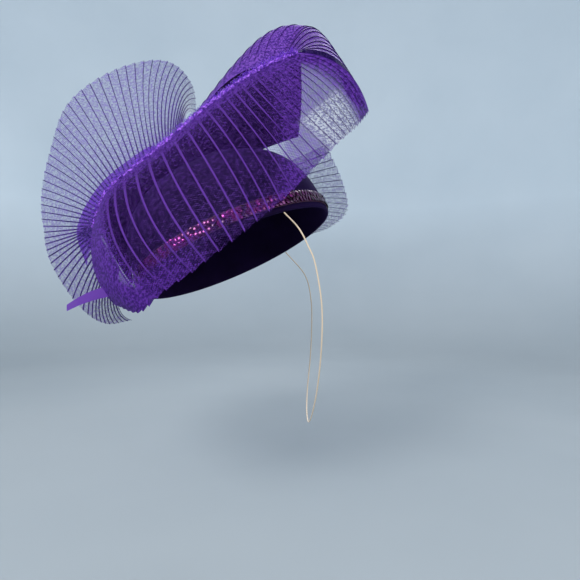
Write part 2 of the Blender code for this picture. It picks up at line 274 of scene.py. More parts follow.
crown.data.materials.append(
    felt_material("crown_felt", (0.0035, 0.0010, 0.0110), (0.0110, 0.0032, 0.0330), 1500))
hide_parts("felt_crown")
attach(crown, "root")


# Felt sweep
# A second piece of the same felt, curled into a trough along the top of the crown. It is
# sewn down along its keel and stands out past the crown at its open end.
SWEEP_LENGTH = 0.240
SWEEP_WIDTH = 0.065
SWEEP_RISE = 0.093
GAP = 0.0003
DRAPE_GAP = 0.0006
SWEEP_COLUMNS, SWEEP_LINES = 110, 48
SWEEP_ROUND = 0.17
SWEEP_ROWS = (
    (-0.460, -0.05, -0.15, -0.425, 0.00, -0.80, -0.460, 0.08, -0.06),
    (-0.360, -0.14, 0.10, -0.370, 0.00, -0.36, -0.340, 0.12, 0.25),
    (-0.200, -0.34, 0.16, -0.220, 0.00, -0.06, -0.150, 0.18, 0.48),
    (-0.050, -0.45, 0.23, -0.080, 0.00, 0.00, 0.020, 0.24, 0.64),
    (0.090, -0.52, 0.33, 0.060, 0.00, 0.00, 0.125, 0.26, 0.80),
    (0.235, -0.59, 0.41, 0.190, 0.00, 0.00, 0.280, 0.25, 0.98),
    (0.380, -0.65, 0.46, 0.310, -0.05, -0.03, 0.410, 0.22, 1.00),
    (0.535, -0.69, 0.45, 0.430, -0.10, -0.07, 0.530, 0.22, 0.86),
)


def clear_of_crown(point, clearance):
    """Moves a point that is too close to the crown straight out from its middle."""
    u, v, w = point
    flat = math.hypot(u / (CROWN_LENGTH / 2 + clearance), v / (CROWN_WIDTH / 2 + clearance))
    tall = max(w, 0.0) / (CROWN_DEPTH + clearance)
    depth = (flat ** CROWN_FULLNESS + tall ** CROWN_FULLNESS) ** (1 / CROWN_FULLNESS)
    if depth >= 1:
        return np.array(point)
    return np.array((u / depth, v / depth, w / depth if w > 0 else w))


def sweep_edges(x):
    """Near edge, keel and far edge of the sweep, at x from its tail to its open end."""
    row = spline(SWEEP_ROWS, x)
    size = np.array((SWEEP_LENGTH, SWEEP_WIDTH, SWEEP_RISE))
    top = np.array((0, 0, CROWN_DEPTH))
    return [clear_of_crown(top + size * row[k:k + 3], FELT_WALL / 2 + DRAPE_GAP)
            for k in (0, 3, 6)]


def grid_mesh(name, columns, rows, place):
    """Open sheet of quads: place gives a point in the hat's own axes and a UV in metres."""
    points, uvs = [], []
    for i in range(columns + 1):
        for j in range(rows + 1):
            point, uv = place(i, j)
            points.append(worn @ Vector(point))
            uvs.append(uv)
    step = rows + 1
    faces = [(i * step + j, (i + 1) * step + j, (i + 1) * step + j + 1, i * step + j + 1)
             for i in range(columns) for j in range(rows)]
    mesh = bpy.data.meshes.new(name)
    mesh.from_pydata(points, [], faces)
    layer = mesh.uv_layers.new(name="cloth")
    for loop in mesh.loops:
        layer.data[loop.index].uv = uvs[loop.vertex_index]
    piece = bpy.data.objects.new(name, mesh)
    scene.collection.objects.link(piece)
    return piece


def place_sweep(i, j):
    x, y = i / SWEEP_COLUMNS, j / SWEEP_LINES
    near, keel, far = sweep_edges(x)
    side = near if y < 0.5 else far
    turn = abs(2 * y - 1) * math.pi / 2
    out, rise = math.sin(turn), 1 - math.cos(turn)
    share = np.array((0.25 * out + 0.75 * rise, out, rise))
    point = clear_of_crown(keel + (side - keel) * share, FELT_WALL / 2 + DRAPE_GAP)
    return point, (x * SWEEP_LENGTH, y * SWEEP_ROUND)


sweep = grid_mesh("sweep_felt", SWEEP_COLUMNS, SWEEP_LINES, place_sweep)
wall = sweep.modifiers.new("wall", "SOLIDIFY")
wall.thickness = FELT_WALL
wall.offset = 0
edge = sweep.modifiers.new("soft_edge", "BEVEL")
edge.width = 0.0008
edge.segments = 2
edge.angle_limit = math.radians(50)
apply_modifiers(sweep)
bpy.ops.object.shade_smooth_by_angle(angle=math.radians(60))
sweep.data.materials.append(
    felt_material("sweep_felt", (0.0032, 0.0010, 0.0105), (0.0105, 0.0030, 0.0320), 1300))
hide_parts("felt_sweep")
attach(sweep, "root")


# Sequin band
# A narrow ribbon is sewn round the crown just above its rim. Two rows of cupped magenta
# sequins overlap on it like scales, and the ones that face the light flash pink.
BAND_WIDTH = 0.0115
BAND_LIFT = 0.0045
RIBBON_WALL = 0.0004
SEQUIN_RADIUS = 0.0030
SEQUIN_LIFT = 0.0013
SEQUIN_ROWS = (0.28, 0.72)
SEQUINS = 146
CUP_DEPTH = 0.00045

bpy.ops.object.select_all(action="DESELECT")
bpy.ops.mesh.primitive_cylinder_add(vertices=160, radius=1, depth=2, end_fill_type="NOTHING")
ribbon = bpy.context.object
ribbon.name = "sequin_ribbon"
for vertex in ribbon.data.vertices:
    angle = math.atan2(vertex.co.y, vertex.co.x)
    height = BAND_LIFT + BAND_WIDTH * (vertex.co.z + 1) / 2
    vertex.co = worn @ Vector(crown_surface(angle, height, GAP))
wall = ribbon.modifiers.new("wall", "SOLIDIFY")
wall.thickness = RIBBON_WALL
wall.offset = 1
apply_modifiers(ribbon)
plum, nodes, links, shader = new_material("ribbon_plum", (0.10, 0.004, 0.075), 0.6)
threads = nodes.new("ShaderNodeTexNoise")
threads.inputs["Scale"].default_value = 2200
two_tone(nodes, links, shader, threads, (0.020, 0.001, 0.016), (0.070, 0.003, 0.048))
ribbon.data.materials.append(plum)
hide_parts("sequin_band")
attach(ribbon, "root")

# One cup: a disc with its middle pushed in and a small needle hole.
bpy.ops.object.select_all(action="DESELECT")
bpy.ops.mesh.primitive_circle_add(vertices=12, radius=SEQUIN_RADIUS, fill_type="NOTHING")
cup = bpy.context.object
bpy.ops.object.mode_set(mode="EDIT")
bpy.ops.mesh.select_all(action="SELECT")
bpy.ops.mesh.extrude_region_move(TRANSFORM_OT_translate={"value": (0, 0, CUP_DEPTH)})
bpy.ops.transform.resize(value=(0.62, 0.62, 1))
bpy.ops.mesh.extrude_region_move(TRANSFORM_OT_translate={"value": (0, 0, 0.00005)})
bpy.ops.transform.resize(value=(0.24, 0.24, 1))
bpy.ops.object.mode_set(mode="OBJECT")
cup_points = [vertex.co.copy() for vertex in cup.data.vertices]
cup_faces = [tuple(face.vertices) for face in cup.data.polygons]
bpy.data.objects.remove(cup)

draw = random.Random(7)
points, faces, tones = [], [], []
for row, share in enumerate(SEQUIN_ROWS):
    for k in range(SEQUINS):
        angle = 2 * math.pi * (k + 0.5 * row) / SEQUINS
        height = BAND_LIFT + BAND_WIDTH * share
        spot = worn @ Vector(crown_surface(angle, height, SEQUIN_LIFT))
        ahead = worn @ Vector(crown_surface(angle + 0.01, height, SEQUIN_LIFT))
        above = worn @ Vector(crown_surface(angle, height + 0.001, SEQUIN_LIFT))
        along = (ahead - spot).normalized()
        up = (above - spot).normalized()
        out = along.cross(up).normalized()
        turn = Matrix((along, up, out)).transposed()
        turn = turn @ Matrix.Rotation(math.radians(draw.uniform(9, 20)), 3, "Y")
        turn = turn @ Matrix.Rotation(math.radians(draw.uniform(-12, 12)), 3, "X")
        first = len(points)
        points += [spot + turn @ point for point in cup_points]
        faces += [tuple(first + v for v in face) for face in cup_faces]
        tones += [draw.random()] * len(cup_points)
mesh = bpy.data.meshes.new("sequins")
mesh.from_pydata(points, [], faces)
tone = mesh.attributes.new("tone", "FLOAT", "POINT")
tone.data.foreach_set("value", tones)
mesh.shade_smooth()
sequins = bpy.data.objects.new("sequins", mesh)
scene.collection.objects.link(sequins)
foil, nodes, links, shader = new_material("sequin_foil", (0.42, 0.012, 0.30), 0.22)
shader.inputs["Metallic"].default_value = 0.75
shader.inputs["Coat Weight"].default_value = 0.35
shader.inputs["Coat Roughness"].default_value = 0.08
read = nodes.new("ShaderNodeAttribute")
read.attribute_name = "tone"
shades = nodes.new("ShaderNodeValToRGB")
shades.color_ramp.elements[0].color = (0.022, 0.001, 0.020, 1)
shades.color_ramp.elements[1].color = (0.19, 0.003, 0.15, 1)
links.new(read.outputs["Fac"], shades.inputs["Fac"])
links.new(shades.outputs["Color"], shader.inputs["Base Color"])
sequins.data.materials.append(foil)
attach(sequins, "root")


# Gathered roll
# The pleats of the front ruffle are drawn together on a thread along the sweep's near
# edge. They bunch there into a soft roll of folded net with loose ends of filament.
CRIN_WALL = 0.0010
ROLL_RADIUS = 0.0042
BAND_WALL = 0.0012
ROLL_LENGTH, ROLL_GIRTH = 0.27, 0.026
RINGS, ROUND = 420, 30
FILAMENTS = 1100
FILAMENT_RADIUS = 0.00018
WEAVE_PITCH = 0.0024
THREAD_SHARE = 0.11
FOLD_FROM = 0.74


def seam_frame(edge, x):
    """Point on one edge of the sweep, with the directions out of the trough and over it."""
    here = sweep_edges(x)[edge]
    step = 0.01
    tangent = sweep_edges(min(x + step, 1))[edge] - sweep_edges(max(x - step, 0))[edge]
    side = np.array((tangent[1], -tangent[0], 0.0))
    side /= np.linalg.norm(side)
    over = np.cross(side, tangent)
    over /= np.linalg.norm(over)
    if edge == 2:
        side = -side
    return here, side, over


def crin_weave_group():
    """Node group: how much of the net is filament, from slanting threads on a UV in metres."""
    group = bpy.data.node_groups.new("crin_weave", "ShaderNodeTree")
    face = group.interface
    face.new_socket("Pitch", in_out="INPUT", socket_type="NodeSocketFloat")
    face.new_socket("Thread", in_out="INPUT", socket_type="NodeSocketFloat")
    face.new_socket("Weave", in_out="OUTPUT", socket_type="NodeSocketFloat")
    face.new_socket("Fold", in_out="OUTPUT", socket_type="NodeSocketFloat")
    nodes, links = group.nodes, group.links
    given = nodes.new("NodeGroupInput")
    made = nodes.new("NodeGroupOutput")
    cloth = nodes.new("ShaderNodeUVMap")
    cloth.uv_map = "cloth"
    split = nodes.new("ShaderNodeSeparateXYZ")
    links.new(cloth.outputs["UV"], split.inputs[0])
    masks = []
    for slant in (1.0, -1.0):
        lean = math_node(nodes, links, "MULTIPLY_ADD", split.outputs["Y"], slant,
                         split.outputs["X"])
        turns = math_node(nodes, links, "DIVIDE", lean, given.outputs["Pitch"])
        part = math_node(nodes, links, "FRACT", turns)
        centred = math_node(nodes, links, "SUBTRACT", part, 0.5)
        away = math_node(nodes, links, "ABSOLUTE", centred)
        masks.append(math_node(nodes, links, "LESS_THAN", away, given.outputs["Thread"]))
    links.new(math_node(nodes, links, "MAXIMUM", *masks), made.inputs["Weave"])
    pleat = nodes.new("ShaderNodeAttribute")
    pleat.attribute_name = "pleat"
    turned = math_node(nodes, links, "FRACT", pleat.outputs["Fac"])
    links.new(math_node(nodes, links, "GREATER_THAN", turned, FOLD_FROM), made.inputs["Fold"])
    return group


crin_weave = crin_weave_group()


def crin_material(name, shade, light, painted_fold_shading, holes, solid, fold):
    """Violet nylon net: its two colours and the painted light and shade on its folds, then how
    much each part covers.
    """
    material, nodes, links, shader = new_material(name, light, 0.55)
    shader.inputs["Specular IOR Level"].default_value = 0.12
    weave = nodes.new("ShaderNodeGroup")
    weave.node_tree = crin_weave
    weave.inputs["Pitch"].default_value = WEAVE_PITCH
    weave.inputs["Thread"].default_value = THREAD_SHARE
    where = nodes.new("ShaderNodeTexCoord")
    uneven = nodes.new("ShaderNodeTexNoise")
    uneven.inputs["Scale"].default_value = 430
    uneven.inputs["Detail"].default_value = 2
    glare_speckle = nodes.new("ShaderNodeTexNoise")
    glare_speckle.inputs["Scale"].default_value = 560
    glare_speckle.inputs["Detail"].default_value = 2
    dense = nodes.new("ShaderNodeAttribute")
    dense.attribute_name = "dense"
    # Share of the net that carries a silver-grey painted reflection of light.
    painted_glare = nodes.new("ShaderNodeAttribute")
    painted_glare.attribute_name = "painted_glare"
    links.new(where.outputs["Object"], uneven.inputs["Vector"])
    links.new(where.outputs["Object"], glare_speckle.inputs["Vector"])

    # Colour: violet in two shades by a random mottle, a silver-grey painted reflection of light
    # where the net glares, and painted light and shade along the folds.
    tint = nodes.new("ShaderNodeMix")
    tint.data_type = "RGBA"
    tint.inputs["A"].default_value = (*shade, 1)
    tint.inputs["B"].default_value = (*light, 1)
    glare_shades = nodes.new("ShaderNodeValToRGB")
    glare_shades.color_ramp.elements[0].position = 0.46
    glare_shades.color_ramp.elements[0].color = (0.15, 0.14, 0.27, 1)
    glare_shades.color_ramp.elements[1].position = 0.56
    glare_shades.color_ramp.elements[1].color = (0.44, 0.46, 0.53, 1)
    with_glare = nodes.new("ShaderNodeMix")
    with_glare.data_type = "RGBA"
    fold_shading_mix = nodes.new("ShaderNodeMix")
    fold_shading_mix.data_type = "RGBA"
    fold_shading_mix.inputs["B"].default_value = (*painted_fold_shading, 1)
    links.new(map_range(nodes, links, uneven.outputs["Fac"], 0.40, 0.62), tint.inputs["Factor"])
    links.new(glare_speckle.outputs["Fac"], glare_shades.inputs["Fac"])
    links.new(painted_glare.outputs["Fac"], with_glare.inputs["Factor"])
    links.new(tint.outputs["Result"], with_glare.inputs["A"])
    links.new(glare_shades.outputs["Color"], with_glare.inputs["B"])
    # Painted light and shade on the folds: one colour laid along them.
    links.new(weave.outputs["Fold"], fold_shading_mix.inputs["Factor"])
    links.new(with_glare.outputs["Result"], fold_shading_mix.inputs["A"])
    links.new(fold_shading_mix.outputs["Result"], shader.inputs["Base Color"])

    # Cover: mottled threads, more of them where the net is dense, and most along the folds.
    cover = map_range(nodes, links, weave.outputs["Weave"], 0.0, 1.0, holes, solid)
    mottle = map_range(nodes, links, uneven.outputs["Fac"], 0.38, 0.62, 0.55, 1.45)
    speckled = math_node(nodes, links, "MULTIPLY", cover, mottle)
    total = math_node(nodes, links, "ADD", speckled, dense.outputs["Fac"])
    total.node.use_clamp = True
    folded = math_node(nodes, links, "MULTIPLY", weave.outputs["Fold"], fold)
    links.new(math_node(nodes, links, "MAXIMUM", total, folded), shader.inputs["Alpha"])

    raised = nodes.new("ShaderNodeBump")
    raised.inputs["Strength"].default_value = 0.7
    raised.inputs["Distance"].default_value = 0.0003
    links.new(weave.outputs["Weave"], raised.inputs["Height"])
    links.new(raised.outputs["Normal"], shader.inputs["Normal"])
    return material


roll_draw = random.Random(11)
points, faces = [], []
wander = [roll_draw.uniform(0, 2 * math.pi) for _ in range(8)]
for i in range(RINGS + 1):
    s = i / RINGS
    here, out, over = seam_frame(0, s)
    centre = here + over * (ROLL_RADIUS + GAP)
    swell = 0.90 + 0.25 * math.sin(math.pi * min(1, 2 * s) / 2)
    for j in range(ROUND):
        turn = 2 * math.pi * j / ROUND
        ridges = (0.11 * math.sin(5 * turn + 46 * s + wander[0])
                  + 0.09 * math.sin(9 * turn - 75 * s + wander[1])
                  + 0.07 * math.sin(210 * s + 2 * turn + wander[2])
                  + 0.06 * math.sin(147 * s - 3 * turn + wander[3]))
        reach = ROLL_RADIUS * swell * (1.0 + ridges)
        side = math.cos(turn) * out + math.sin(turn) * over
        points.append(worn @ Vector(centre + reach * side))
for i in range(RINGS):
    for j in range(ROUND):
        k = (j + 1) % ROUND
        faces.append((i * ROUND + j, i * ROUND + k, (i + 1) * ROUND + k, (i + 1) * ROUND + j))
faces.append(tuple(range(ROUND))[::-1])
faces.append(tuple(RINGS * ROUND + j for j in range(ROUND)))
mesh = bpy.data.meshes.new("gathered_roll")
mesh.from_pydata(points, [], faces)
layer = mesh.uv_layers.new(name="cloth")
for loop in mesh.loops:
    i, j = divmod(loop.vertex_index, ROUND)
    layer.data[loop.index].uv = (i / RINGS * ROLL_LENGTH, j / ROUND * ROLL_GIRTH)
mesh.shade_smooth()
roll = bpy.data.objects.new("gathered_roll", mesh)
scene.collection.objects.link(roll)
bpy.ops.object.select_all(action="DESELECT")
bpy.context.view_layer.objects.active = roll
roll.select_set(True)
bpy.ops.object.mode_set(mode="EDIT")
bpy.ops.mesh.select_all(action="SELECT")
bpy.ops.mesh.normals_make_consistent(inside=False)
bpy.ops.object.mode_set(mode="OBJECT")
gather = crin_material(
    "gathered_crin", shade=(0.070, 0.015, 0.28), light=(0.42, 0.15, 0.90),
    painted_fold_shading=(0.06, 0.01, 0.25), holes=0.70, solid=1.0, fold=0.0)
roll.data.materials.append(gather)
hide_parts("crin_roll")
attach(roll, "root")

# Loose filament stands out of the gathers in short arcs, most of it near the open end.
points, faces = [], []
for k in range(FILAMENTS):
    s = roll_draw.random() ** 0.6
    here, out, over = seam_frame(0, s)
    centre = here + over * (ROLL_RADIUS + GAP)
    turn = roll_draw.uniform(-0.4, math.pi + 0.2)
    away = math.cos(turn) * out + math.sin(turn) * over
    ahead = np.cross(out, over)
    lean = roll_draw.uniform(-1.0, 1.0)
    long = roll_draw.uniform(0.002, 0.0045) * (1 + 0.9 * max(0, s - 0.6))
    root = centre + away * ROLL_RADIUS * 0.9
    first = len(points)
    for n in range(5):
        t = n / 4
        bend = root + away * long * math.sin(math.pi * 0.75 * t) + ahead * lean * long * t
        for m in range(3):
            around = 2 * math.pi * m / 3
            side = math.cos(around) * out + math.sin(around) * ahead
            points.append(worn @ Vector(bend + FILAMENT_RADIUS * side))
    for n in range(4):
        for m in range(3):
            q = (m + 1) % 3
            faces.append((first + 3 * n + m, first + 3 * n + q,
                          first + 3 * n + 3 + q, first + 3 * n + 3 + m))
    faces.append((first + 2, first + 1, first))
    faces.append((first + 12, first + 13, first + 14))
mesh = bpy.data.meshes.new("loose_filament")
mesh.from_pydata(points, [], faces)
filament = bpy.data.objects.new("loose_filament", mesh)
scene.collection.objects.link(filament)
nylon, nodes, links, shader = new_material("nylon_filament", (0.24, 0.05, 0.74), 0.35)
patchy = nodes.new("ShaderNodeTexNoise")
patchy.inputs["Scale"].default_value = 160
two_tone(nodes, links, shader, patchy, (0.12, 0.018, 0.46), (0.34, 0.09, 0.90))
filament.data.materials.append(nylon)
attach(filament, "root")


# Pleated ruffles
# Each ruffle is a strip of violet nylon net 145 mm wide, pressed into knife pleats. One
# edge is gathered on its seam and the other is free. Where a pleat folds over, three
# layers of net lie on each other, so each fold reads as a closer line, and its colour is
# painted lighter on the front ruffle and darker on the others, as painted light and shade.
CRIN_WIDTH = 0.145
FOLD_HALF = 0.00045
PLEAT_WIDE = (0, 0.5, 1)
PLEAT_RISE = (-1, 0.25, 1)
PLEAT_TURN = (0, 0.41, 0.82)
NET_SHIFT = 0.002
FAN_STOP, TIP_STOP = 0.42, 0.48
FRILL_START, FRILL_STOP = 0.03, 0.37
FAN_TURN, TIP_TURN = 0.78, 0.35
FRONT_ROWS = (
    (0.00, -0.06, -0.10, -0.32, -0.01, -0.12, -0.58),
    (0.10, -0.03, -0.26, -0.45, 0.08, -0.38, -0.88),
    (0.22, 0.00, -0.32, -0.50, 0.12, -0.44, -0.92),
    (0.38, 0.03, -0.33, -0.50, 0.09, -0.43, -0.92),
    (0.54, 0.04, -0.30, -0.51, 0.05, -0.42, -0.94),
    (0.66, 0.05, -0.26, -0.52, 0.06, -0.38, -0.92),
    (0.76, 0.06, -0.21, -0.49, 0.12, -0.30, -0.84),
    (0.85, 0.08, -0.16, -0.44, 0.16, -0.22, -0.76),
    (0.93, 0.12, -0.11, -0.37, 0.17, -0.12, -0.68),
    (1.00, 0.18, -0.07, -0.26, 0.20, -0.04, -0.58),
)
TIP_ROWS = (
    (0.00, 0.20, -0.04, -0.20, 0.22, 0.00, -0.55),
    (0.10, 0.30, 0.03, 0.00, 0.28, 0.07, -0.48),
    (0.22, 0.38, 0.10, 0.20, 0.37, 0.18, -0.34),
    (0.40, 0.38, 0.15, 0.35, 0.54, 0.36, -0.02),
    (0.55, 0.33, 0.21, 0.37, 0.60, 0.54, 0.24),
    (0.70, 0.24, 0.29, 0.34, 0.50, 0.69, 0.42),
    (0.85, 0.16, 0.33, 0.29, 0.37, 0.76, 0.45),
    (1.00, 0.11, 0.35, 0.26, 0.27, 0.79, 0.42),
)
FAN_ROWS = (
    (0.00, 0.10, 0.35, 0.34, 0.17, 0.74, 0.52),
    (0.08, 0.15, 0.20, 0.39, 0.31, 0.42, 0.64),
    (0.18, 0.11, 0.10, 0.43, 0.30, 0.20, 0.78),
    (0.32, 0.04, 0.08, 0.43, 0.10, 0.11, 0.86),
    (0.46, -0.06, 0.08, 0.41, -0.14, 0.12, 0.84),
    (0.60, -0.12, 0.06, 0.32, -0.27, 0.13, 0.64),
    (0.72, -0.17, 0.06, 0.20, -0.38, 0.15, 0.42),
    (0.80, -0.20, 0.07, 0.08, -0.41, 0.16, 0.18),
    (0.86, -0.22, 0.09, -0.03, -0.41, 0.18, -0.06),
    (0.91, -0.22, 0.11, -0.13, -0.37, 0.20, -0.26),
    (0.96, -0.20, 0.13, -0.16, -0.28, 0.24, -0.32),
    (1.00, -0.15, 0.18, -0.18, -0.14, 0.32, -0.28),
)
FRILL_ROWS = (
    (0.00, -0.28, 0.22, -0.05, -0.42, 0.50, -0.08),
    (0.30, -0.33, 0.26, 0.10, -0.54, 0.56, 0.18),
    (0.60, -0.28, 0.32, 0.24, -0.46, 0.62, 0.40),
    (0.85, -0.18, 0.40, 0.29, -0.32, 0.70, 0.50),
    (1.00, -0.12, 0.44, 0.30, -0.24, 0.72, 0.52),
)
BACK_ROWS = (
    (0.00, 0.42, 0.26, 0.12, 0.85, 0.28, 0.14),
    (0.25, 0.46, 0.20, 0.02, 0.86, 0.18, -0.10),
    (0.50, 0.44, 0.14, -0.04, 0.80, 0.06, -0.26),
    (0.75, 0.36, 0.12, -0.04, 0.62, -0.06, -0.24),
    (1.00, 0.28, 0.10, -0.02, 0.46, -0.10, -0.12),
)
BACK_SEAM = ((0.30, 0.90), (0.26, 0.76), (0.22, 0.60), (0.20, 0.42), (0.20, 0.24))


def front_seam(x):
    """Along the near side of the gathered roll, from the tail to the tip."""
    here, out, over = seam_frame(0, x)
    return here + over * ROLL_RADIUS + out * (ROLL_RADIUS + GAP + CRIN_WALL / 2)


def tip_seam(x):
    """Across the open end from its near corner, then back along the far wall's top."""
    if x < TIP_TURN:
        near, _, over = seam_frame(0, 1.0)
        start = near + over * (2 * ROLL_RADIUS + 2 * GAP + CRIN_WALL / 2)
        far, out, over = seam_frame(2, 1.0)
        top = far + over * DRAPE_GAP
        above = top + (over - 2 * out) * FELT_WALL
        return spline((start, (start + top) / 2, above, top), x / TIP_TURN)
    back = (x - TIP_TURN) / (1 - TIP_TURN)
    here, _, over = seam_frame(2, 1.0 + (TIP_STOP - 1.0) * back)
    return here + over * DRAPE_GAP


def fan_seam(x):
    """Along the top of the far wall to the tail, then down the outside of the tail."""
    if x < FAN_TURN:
        here, _, over = seam_frame(2, FAN_STOP * (1 - x / FAN_TURN))
        return here + over * DRAPE_GAP
    near, keel, far = sweep_edges(0.0)
    down = (x - FAN_TURN) / (1 - FAN_TURN)
    clear = np.array((-FELT_WALL / 2 - GAP - CRIN_WALL, 0, 0))
    return spline((far + (0, 0, GAP), near * 0.5 + far * 0.5 + 2 * clear,
                   near * 0.3 + far * 0.3 + keel * 0.4 + clear,
                   near * 0.15 + far * 0.15 + keel * 0.7 + clear), down)


def frill_seam(x):
    """Along the outside of the far wall, from the tail, a little below its top."""
    here, out, over = seam_frame(2, FRILL_START + (FRILL_STOP - FRILL_START) * x)
    return here - over * 3 * FELT_WALL + out * (FELT_WALL / 2 + GAP + CRIN_WALL / 2)


def back_seam(x):
    """Down the crown's far side."""
    along, up = spline(BACK_SEAM, x)
    reach = (1 - up ** CROWN_FULLNESS) ** (1 / CROWN_FULLNESS)
    across = CROWN_WIDTH / 2 * math.sqrt(max(reach ** 2 - along ** 2, 0))
    return clear_of_crown((along * CROWN_LENGTH / 2, across, up * CROWN_DEPTH),
                          DRAPE_GAP + CRIN_WALL / 2)


def sheet_point(seam, rows, x, y):
    """Point of a flat sheet: x along its seam, y from the seam to the free end."""
    row = spline(rows, x)
    start = seam(row[0])
    mid = start + CRIN_WIDTH * row[1:4]
    end = start + CRIN_WIDTH * row[4:7]
    pull = 2 * mid - (start + end) / 2
    return (1 - y) ** 2 * start + 2 * y * (1 - y) * pull + y ** 2 * end


def nowhere(x, y):
    """A share that is 0 all over a sheet."""
    return 0.0


def pleated_sheet(name, seam, rows, pleats, lengths, panel, fold_free, fold_seam, step,
                  spacing=lambda t: t, dense=nowhere, painted_glare=nowhere):
    """Knife-pleated ruffle: each pleat has a panel of two strips and a fold back under it.

    A pleat is panel wide, and laps over the next one by fold_free at the free end and more at
    the seam. Its free edge steps back by the share step. spacing sets where the pleats start,
    dense says how close the net is, and the last one where a silver-grey painted reflection of
    light lies on it.
    """
    surface = {}

    def flat(x, y):
        key = (round(x, 6), round(y, 6))
        if key not in surface:
            surface[key] = sheet_point(seam, rows, x, y)
        return surface[key]

    def place(i, j):
        pleat, corner = divmod(i, 3)
        y = j / lengths
        fall = fold_free + (fold_seam - fold_free) * (1 - y) ** 3
        x0, x1 = spacing(pleat / pleats), spacing(min(pleat + 1, pleats) / pleats)
        away = 0.004
        left, right = max(x1 - away, 0), min(x1 + away, 1)
        rate = np.linalg.norm(flat(right, y) - flat(left, y)) / (right - left)
        x_fold = min(x1 + fall / max(rate, 0.02), 1.0)
        x = (x0, 0.5 * (x0 + x_fold), x_fold)[corner]
        lift = PLEAT_RISE[corner] * FOLD_HALF
        y = y * (1 - step * PLEAT_WIDE[corner])
        low, high = max(y - away, 0), min(y + away, 1)
        run = flat(right, y) - flat(left, y)
        fallen = flat(x, high) - flat(x, low)
        face = np.cross(run, fallen)
        face /= max(np.linalg.norm(face), 1e-9)
        open_up = min(1, 6 * y + 0.15)
        point = flat(x, y) + face * lift * open_up
        over_band = (BAND_WALL + GAP) * min(1, 4 * y)
        point = clear_of_crown(point, DRAPE_GAP + CRIN_WALL / 2 + over_band
                               + (lift + FOLD_HALF) * open_up)
        thicker.append(dense(x, y))
        shiny.append(painted_glare(x, y))
        turned.append(pleat + PLEAT_TURN[corner])
        along = pleat * (panel + NET_SHIFT) + PLEAT_WIDE[corner] * panel
        return point, (along, y * CRIN_WIDTH)

    thicker, shiny, turned = [], [], []
    piece = grid_mesh(name, 3 * pleats, lengths, place)
    for attribute, values in (("dense", thicker), ("painted_glare", shiny), ("pleat", turned)):
        layer = piece.data.attributes.new(attribute, "FLOAT", "POINT")
        layer.data.foreach_set("value", values)
    piece.data.shade_smooth()
    piece.data.set_sharp_from_angle(angle=math.radians(50))
    return piece


def ramp(value, start, stop):
    """0 before start, 1 after stop, and smooth between them."""
    t = min(max((value - start) / (stop - start), 0.0), 1.0)
    return t * t * (3 - 2 * t)


def painted_glare_share(x, y):
    """Share of the front ruffle's free end, by the open end, that carries a silver-grey painted
    reflection of light.
    """
    return ramp(x, 0.72, 0.77) * (1 - ramp(x, 0.90, 0.95)) * ramp(y, 0.54, 0.62)


# Each net's fold colour is painted light and shade: lighter than the net on the front ruffle,
# darker on the tip, fan, back and frill.
crin = crin_material(
    "crinoline", shade=(0.034, 0.006, 0.13), light=(0.110, 0.028, 0.32),
    painted_fold_shading=(0.130, 0.038, 0.35), holes=0.03, solid=0.44, fold=0.88)
tip_net = crin_material(
    "crinoline_tip", shade=(0.050, 0.012, 0.20), light=(0.190, 0.065, 0.46),
    painted_fold_shading=(0.060, 0.016, 0.22), holes=0.10, solid=0.60, fold=0.95)
net = crin_material(
    "crinoline_net", shade=(0.055, 0.022, 0.21), light=(0.140, 0.055, 0.40),
    painted_fold_shading=(0.024, 0.012, 0.105), holes=0.24, solid=0.76, fold=0.90)
# The frill's net is a brighter copy of the same violet net, painted light where the frill lies in
# shade.
frill_net_painted_light = crin_material(
    "crinoline_frill_painted_light", shade=(0.130, 0.012, 0.52), light=(0.29, 0.038, 0.88),
    painted_fold_shading=(0.080, 0.008, 0.36), holes=0.90, solid=1.00, fold=1.00)

# The front ruffle carries a silver-grey painted reflection of light near its free end, which also
# adds a little to the net's cover there.
front = pleated_sheet(
    "front_ruffle", front_seam, FRONT_ROWS, pleats=34, lengths=40,
    panel=0.0094, fold_free=0.0011, fold_seam=0.0026, step=0.02,
    spacing=lambda t: t - 0.07 * math.sin(2 * math.pi * t),
    dense=lambda x, y: (0.75 * math.exp(-11 * y) + 0.98 * (1 - ramp(x, 0.10, 0.19))
                        + 0.55 * ramp(y, 0.70, 0.94) * (1 - ramp(x, 0.22, 0.36))
                        + 0.50 * ramp(x + 0.28 * y, 0.76, 0.86)
                        + 0.40 * ramp(x, 0.91, 0.96) + 0.25 * painted_glare_share(x, y)),
    painted_glare=painted_glare_share)
front.data.materials.append(crin)

# The strip's first end is turned back by the tail and stands out sideways as a flat tab.
TAB_TOP = np.array((-0.0351, 0.0027, -0.0006))
TAB_BOTTOM = np.array((-0.0390, 0.0022, 0.0042))
TAB_FROM, TAB_TO = 0.71, 0.85
TAB_ARCH = 0.0016
TAB_LONG, TAB_WIDE = 0.042, 0.012
TAB_COLUMNS, TAB_LINES = 12, 6


def place_tab(i, j):
    along, down = i / TAB_COLUMNS, j / TAB_LINES
    root = sheet_point(front_seam, FRONT_ROWS, 0.005, TAB_FROM + (TAB_TO - TAB_FROM) * down)
    point = root + along * ((1 - down) * TAB_TOP + down * TAB_BOTTOM)
    point = point + (0, 0, TAB_ARCH * math.sin(math.pi * along))
    return point, (along * TAB_LONG, down * TAB_WIDE)


tab = grid_mesh("front_end", TAB_COLUMNS, TAB_LINES, place_tab)
for attribute, value in (("dense", 0.9), ("painted_glare", 0.0), ("pleat", 0.9)):
    layer = tab.data.attributes.new(attribute, "FLOAT", "POINT")
    layer.data.foreach_set("value", [value] * len(tab.data.vertices))
tab.data.materials.append(crin)
bpy.ops.object.select_all(action="DESELECT")
tab.select_set(True)
front.select_set(True)
bpy.context.view_layer.objects.active = front
bpy.ops.object.join()
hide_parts("crin_front")

